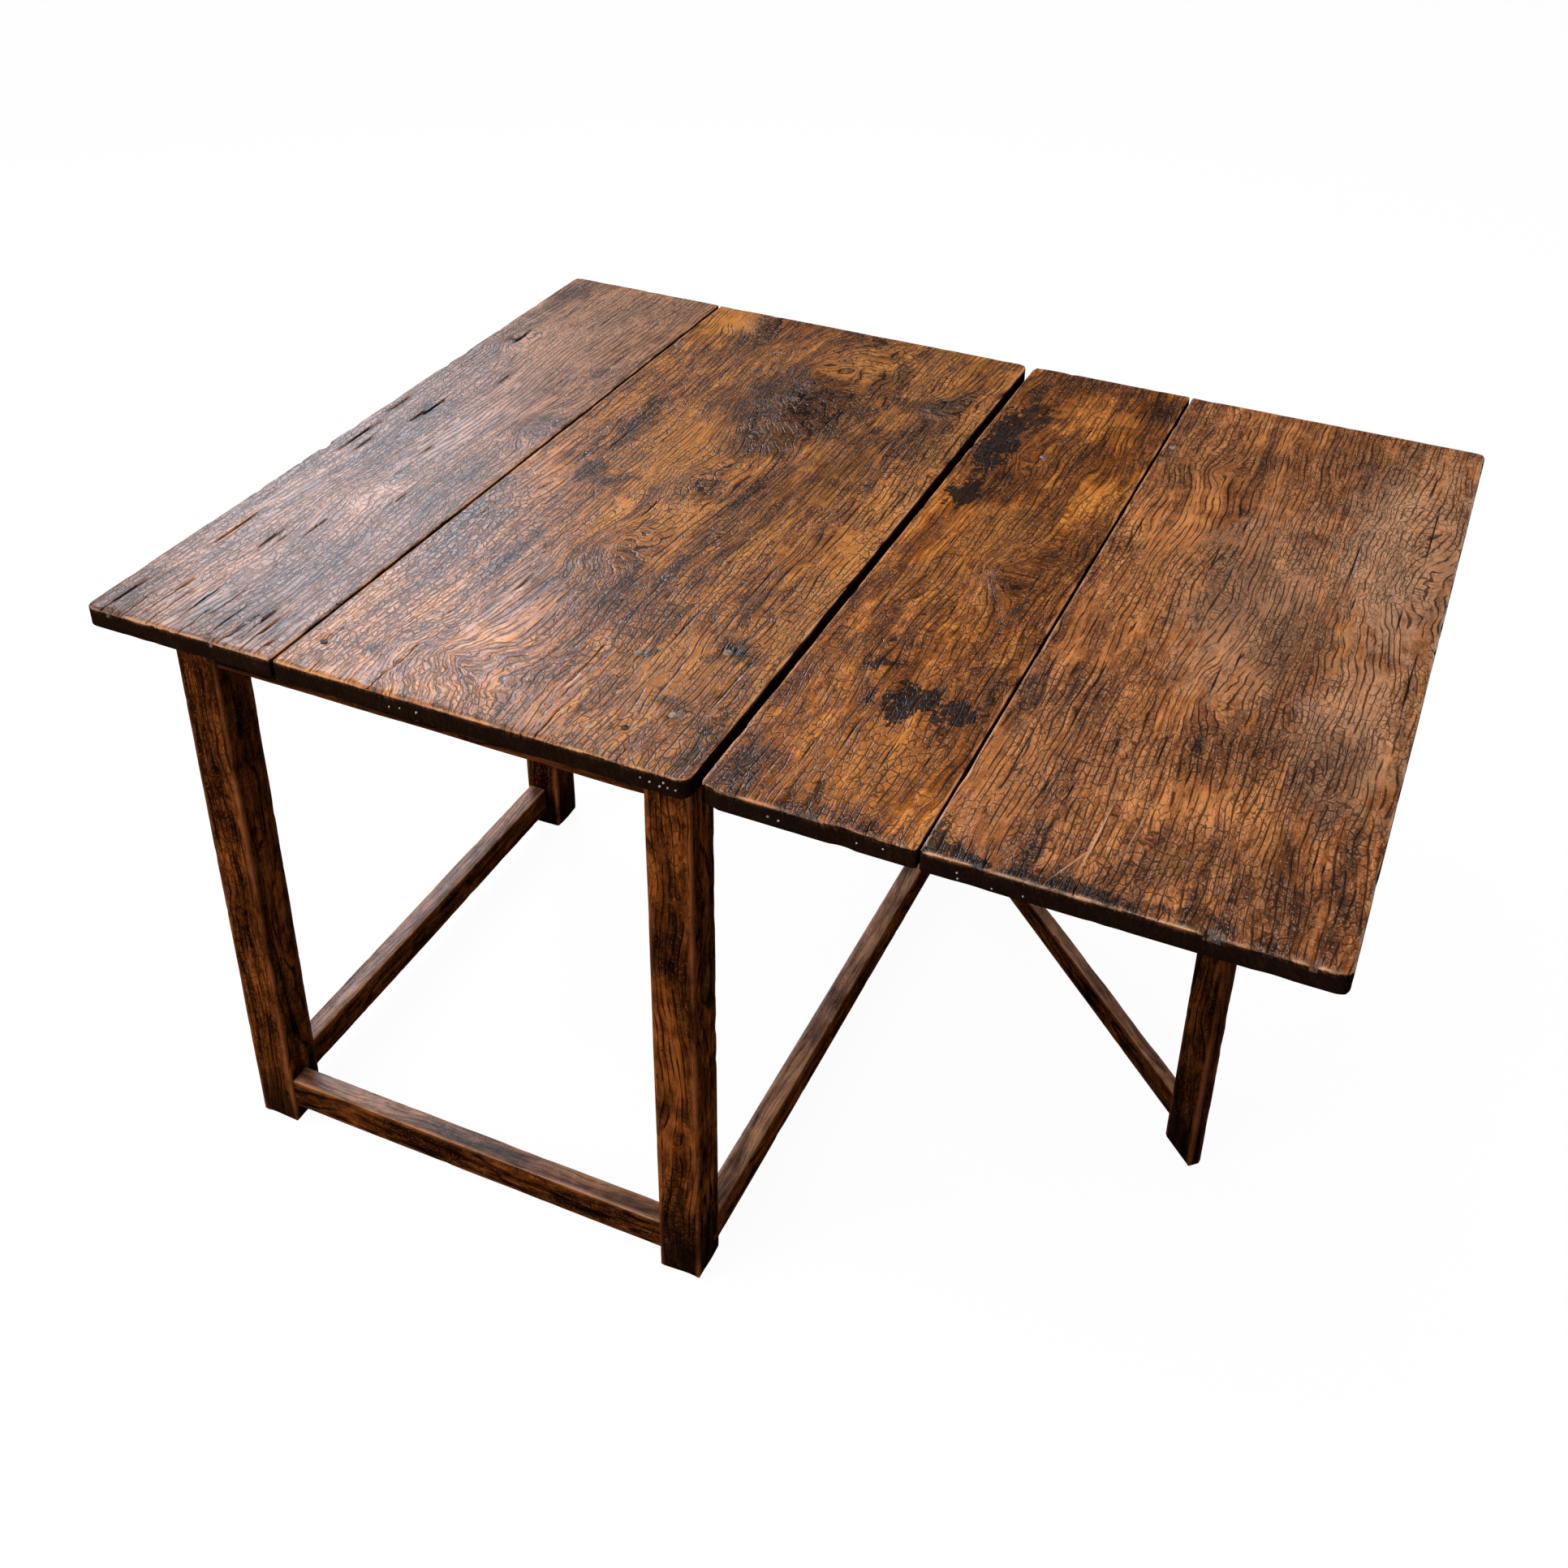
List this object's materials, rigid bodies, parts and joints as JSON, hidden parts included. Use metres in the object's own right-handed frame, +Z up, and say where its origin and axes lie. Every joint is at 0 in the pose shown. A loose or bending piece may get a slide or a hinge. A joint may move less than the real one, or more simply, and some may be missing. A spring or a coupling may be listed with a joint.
{
  "type": "gateleg side table",
  "caption": "Rustic wooden gateleg side table: plank top on square pegged legs with low stretchers, and a hinged plank leaf carried by a swinging framed gate.",
  "frame": {"origin": "on the floor under the middle of the top with the leaf raised", "axes": "+X to the right, from the fixed top to the leaf; +Y to the back; +Z up"},
  "size_m": [1.246, 0.968, 0.72],
  "materials": {
    "plank_wood": "old waxed",
    "frame_wood": "old dark waxed",
    "forged_iron": "forged, dark"
  },
  "bodies": {
    "frame": {"top_board_narrow": "plank_wood", "top_board_wide": "plank_wood", "front_rail": "frame_wood", "back_rail": "frame_wood", "left_rail": "frame_wood", "right_rail": "frame_wood", "back_bearer": "frame_wood", "leg_front_left": "frame_wood", "leg_front_right": "frame_wood", "leg_back_left": "frame_wood", "leg_back_right": "frame_wood", "front_stretcher": "frame_wood", "left_stretcher": "frame_wood", "right_stretcher": "frame_wood", "frame_pegs": "frame_wood", "top_nails": "forged_iron", "leaf_hinge_front_fixed_strap": "forged_iron", "leaf_hinge_back_fixed_strap": "forged_iron", "leaf_hinge_fixed_nails": "forged_iron", "leaf_hinge_pins": "forged_iron", "gate_hinge_lower_fixed_plate": "forged_iron", "gate_hinge_upper_fixed_plate": "forged_iron", "gate_hinge_fixed_nails": "forged_iron", "gate_hinge_pins": "forged_iron"},
    "leaf": {"leaf_board_inner": "plank_wood", "leaf_board_outer": "plank_wood", "leaf_batten_front": "frame_wood", "leaf_batten_back": "frame_wood", "leaf_nails": "forged_iron", "leaf_hinge_front_moving_strap": "forged_iron", "leaf_hinge_back_moving_strap": "forged_iron", "leaf_hinge_moving_nails": "forged_iron"},
    "gate": {"gate_stile": "frame_wood", "gate_leg": "frame_wood", "gate_rail": "frame_wood", "gate_stretcher": "frame_wood", "gate_pegs": "frame_wood", "gate_hinge_lower_moving_plate": "forged_iron", "gate_hinge_upper_moving_plate": "forged_iron", "gate_hinge_moving_nails": "forged_iron"}
  },
  "joints": [
    {"name": "gate_swing", "type": "hinge", "parent": "frame", "child": "gate", "pos_m": [0.0365, 0.3585, 0.595], "axis": [0, 0, 1], "range_deg": [-46, 44]},
    {"name": "leaf_lift", "type": "hinge", "parent": "frame", "child": "leaf", "pos_m": [0.0545, -0.334, 0.7025], "axis": [0, -1, 0], "range_deg": [0, 20]}
  ]
}
